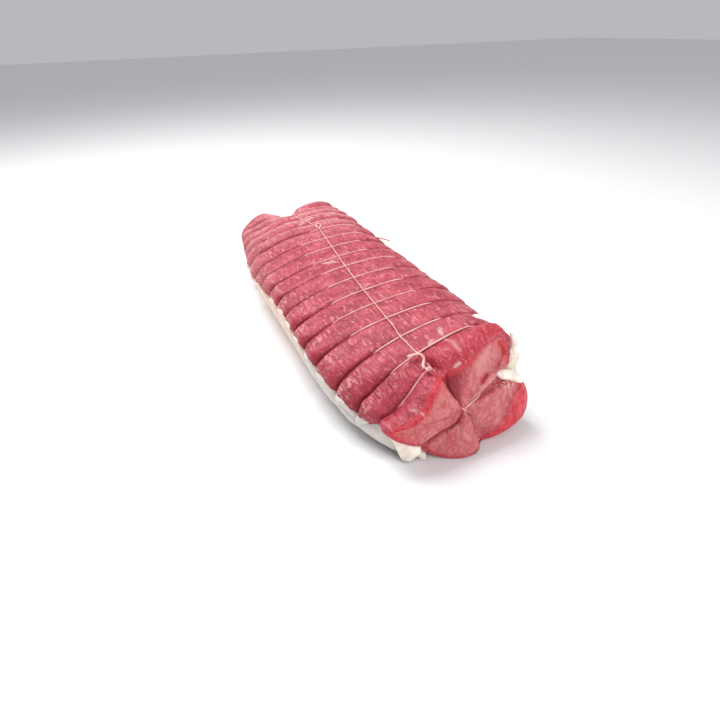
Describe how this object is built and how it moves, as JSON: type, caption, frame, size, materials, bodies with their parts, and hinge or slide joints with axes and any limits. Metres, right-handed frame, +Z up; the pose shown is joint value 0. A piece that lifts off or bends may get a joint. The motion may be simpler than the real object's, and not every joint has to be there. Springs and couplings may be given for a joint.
{
  "type": "roast beef joint",
  "caption": "Raw rolled beef joint tied for roasting: a long roll of lean meat on a sheet of white fat, held by twine round and along it.",
  "frame": {"origin": "centre of the footprint, on the surface that the joint lies on", "axes": "+Z up, +Y along the roll from its cut front end to its far end, +X to the right seen from the front end"},
  "size_m": [0.1442, 0.411, 0.0757],
  "materials": {
    "meat": "raw lean beef, moist satin with fine grain",
    "fat": "raw beef fat, creamy white, soft satin",
    "twine": "butcher's twine, damp and tinted pink by the meat"
  },
  "bodies": {
    "root": {"meat": "meat", "bard_fat": "fat", "tie_00": "twine", "tie_01": "twine", "tie_02": "twine", "tie_03": "twine", "tie_04": "twine", "tie_05": "twine", "tie_06": "twine", "tie_07": "twine", "tie_08": "twine", "tie_09": "twine", "tie_10": "twine", "tie_11": "twine", "tie_12": "twine", "tie_13": "twine", "tie_14": "twine", "tie_15": "twine", "long_string": "twine", "side_string_front": "twine", "side_string_far": "twine"}
  },
  "joints": []
}
